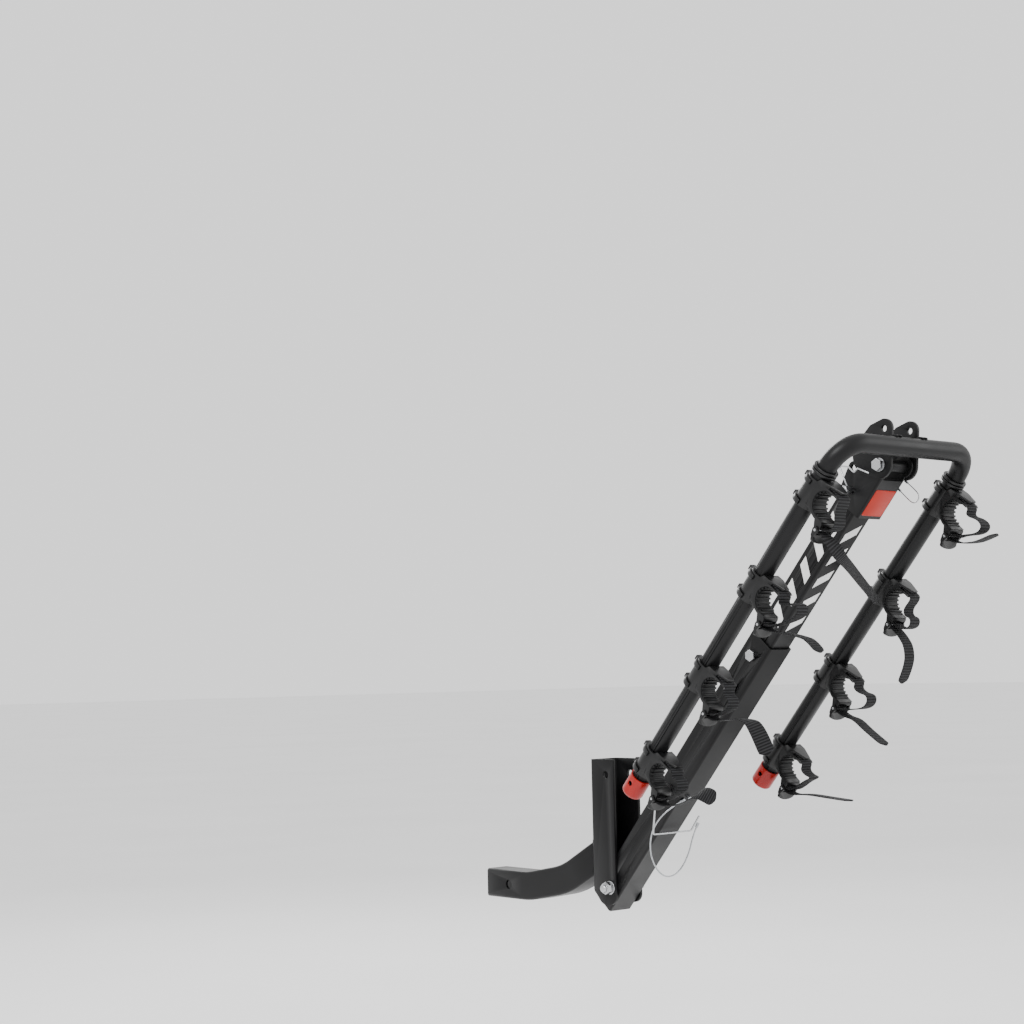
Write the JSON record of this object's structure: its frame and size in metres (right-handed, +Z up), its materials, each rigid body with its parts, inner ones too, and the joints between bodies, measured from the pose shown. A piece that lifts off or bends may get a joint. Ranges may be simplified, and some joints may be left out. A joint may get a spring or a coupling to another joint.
{
  "type": "hitch mounted bike rack",
  "caption": "Folding hitch bike rack: square shank and pivot bracket, tilting mast, U-shaped carry arms with strapped rubber cradles, lock pins and wire lanyards.",
  "frame": {"origin": "centre of the hitch pin hole, on the shank's axis", "axes": "+X across the vehicle, -Y rearward away from the vehicle, +Z up"},
  "size_m": [0.3478, 1.0213, 0.7794],
  "materials": {
    "black_steel": "black powder coat, satin",
    "zinc_steel": "bright zinc plate",
    "wire_steel": "plated steel wire",
    "label": "plain orange-red film",
    "red_cap": "glossy coral-red moulding",
    "black_rubber": "soft ribbed rubber",
    "black_plastic": "moulded, slightly glossy",
    "webbing": "woven ribbed webbing"
  },
  "bodies": {
    "hitch_bracket": {"shank_tube": "black_steel", "shank_weld": "black_steel", "bracket_channel": "black_steel", "lower_pivot_bolt": "zinc_steel", "lower_pivot_nut": "zinc_steel", "lower_pivot_washers": "zinc_steel"},
    "mast": {"lower_mast_tube": "black_steel", "upper_mast_tube": "black_steel", "mast_bolts": "zinc_steel", "mast_nuts": "zinc_steel", "head_bracket": "black_steel", "head_label": "label", "pivot_sleeves": "zinc_steel", "head_pivot_bolt": "zinc_steel", "head_pivot_nut": "zinc_steel", "head_pivot_washers": "zinc_steel", "head_pin_lanyard": "wire_steel", "head_lanyard_ferrules": "wire_steel", "lanyard_studs": "zinc_steel"},
    "carry_arms": {"arm_tube": "black_steel", "buckle_hinge_pins": "zinc_steel", "cradle_clamps_left": "black_rubber", "cradle_clamps_right": "black_rubber", "cradle_left_1": "black_plastic", "cradle_left_2": "black_plastic", "cradle_left_3": "black_plastic", "cradle_left_4": "black_plastic", "cradle_pads_left": "black_rubber", "cradle_pads_right": "black_rubber", "cradle_right_1": "black_plastic", "cradle_right_2": "black_plastic", "cradle_right_3": "black_plastic", "cradle_right_4": "black_plastic", "end_cap_left": "red_cap", "end_cap_right": "red_cap", "knuckle_plates": "black_steel", "knuckle_welds": "black_steel", "strap_left_1": "webbing", "strap_left_2": "webbing", "strap_left_3": "webbing", "strap_left_4": "webbing", "strap_right_1": "webbing", "strap_right_2": "webbing", "strap_right_3": "webbing", "strap_right_4": "webbing"},
    "tilt_pin_set": {"tilt_pin": "zinc_steel", "tilt_pin_bail": "zinc_steel", "tilt_pin_clip": "zinc_steel", "tilt_pin_lanyard": "wire_steel", "tilt_lanyard_ferrules": "wire_steel"},
    "head_pin_set": {"head_lock_pin": "zinc_steel", "head_pin_clip": "zinc_steel"},
    "buckle_left_1_lever": {"buckle_left_1": "black_plastic"},
    "buckle_left_2_lever": {"buckle_left_2": "black_plastic"},
    "buckle_left_3_lever": {"buckle_left_3": "black_plastic"},
    "buckle_left_4_lever": {"buckle_left_4": "black_plastic"},
    "buckle_right_1_lever": {"buckle_right_1": "black_plastic"},
    "buckle_right_2_lever": {"buckle_right_2": "black_plastic"},
    "buckle_right_3_lever": {"buckle_right_3": "black_plastic"},
    "buckle_right_4_lever": {"buckle_right_4": "black_plastic"}
  },
  "joints": [
    {"name": "mast_tilt", "type": "hinge", "parent": "hitch_bracket", "child": "mast", "pos_m": [0, -0.2761, 0.0138], "axis": [1, 0, 0], "range_deg": [-41.4, 0]},
    {"name": "arms_lift", "type": "hinge", "parent": "mast", "child": "carry_arms", "pos_m": [0, -0.88866, 0.68291], "axis": [1, 0, 0], "range_deg": [-100, 0]},
    {"name": "tilt_pin_pull", "type": "slide", "parent": "mast", "child": "tilt_pin_set", "axis": [-1, 0, 0], "range_m": [0, 0.07]},
    {"name": "head_pin_pull", "type": "slide", "parent": "mast", "child": "head_pin_set", "axis": [-1, 0, 0], "range_m": [0, 0.07]},
    {"name": "buckle_left_1_flip", "type": "hinge", "parent": "carry_arms", "child": "buckle_left_1_lever", "pos_m": [-0.1524, -0.87654, 0.58161], "axis": [1, 0, 0], "range_deg": [0, 35]},
    {"name": "buckle_left_2_flip", "type": "hinge", "parent": "carry_arms", "child": "buckle_left_2_lever", "pos_m": [-0.1524, -0.75896, 0.44824], "axis": [1, 0, 0], "range_deg": [0, 35]},
    {"name": "buckle_left_3_flip", "type": "hinge", "parent": "carry_arms", "child": "buckle_left_3_lever", "pos_m": [-0.1524, -0.64138, 0.31487], "axis": [1, 0, 0], "range_deg": [0, 35]},
    {"name": "buckle_left_4_flip", "type": "hinge", "parent": "carry_arms", "child": "buckle_left_4_lever", "pos_m": [-0.1524, -0.5238, 0.1815], "axis": [1, 0, 0], "range_deg": [0, 35]},
    {"name": "buckle_right_1_flip", "type": "hinge", "parent": "carry_arms", "child": "buckle_right_1_lever", "pos_m": [0.1524, -0.87654, 0.58161], "axis": [1, 0, 0], "range_deg": [0, 35]},
    {"name": "buckle_right_2_flip", "type": "hinge", "parent": "carry_arms", "child": "buckle_right_2_lever", "pos_m": [0.1524, -0.75896, 0.44824], "axis": [1, 0, 0], "range_deg": [0, 35]},
    {"name": "buckle_right_3_flip", "type": "hinge", "parent": "carry_arms", "child": "buckle_right_3_lever", "pos_m": [0.1524, -0.64138, 0.31487], "axis": [1, 0, 0], "range_deg": [0, 35]},
    {"name": "buckle_right_4_flip", "type": "hinge", "parent": "carry_arms", "child": "buckle_right_4_lever", "pos_m": [0.1524, -0.5238, 0.1815], "axis": [1, 0, 0], "range_deg": [0, 35]}
  ]
}
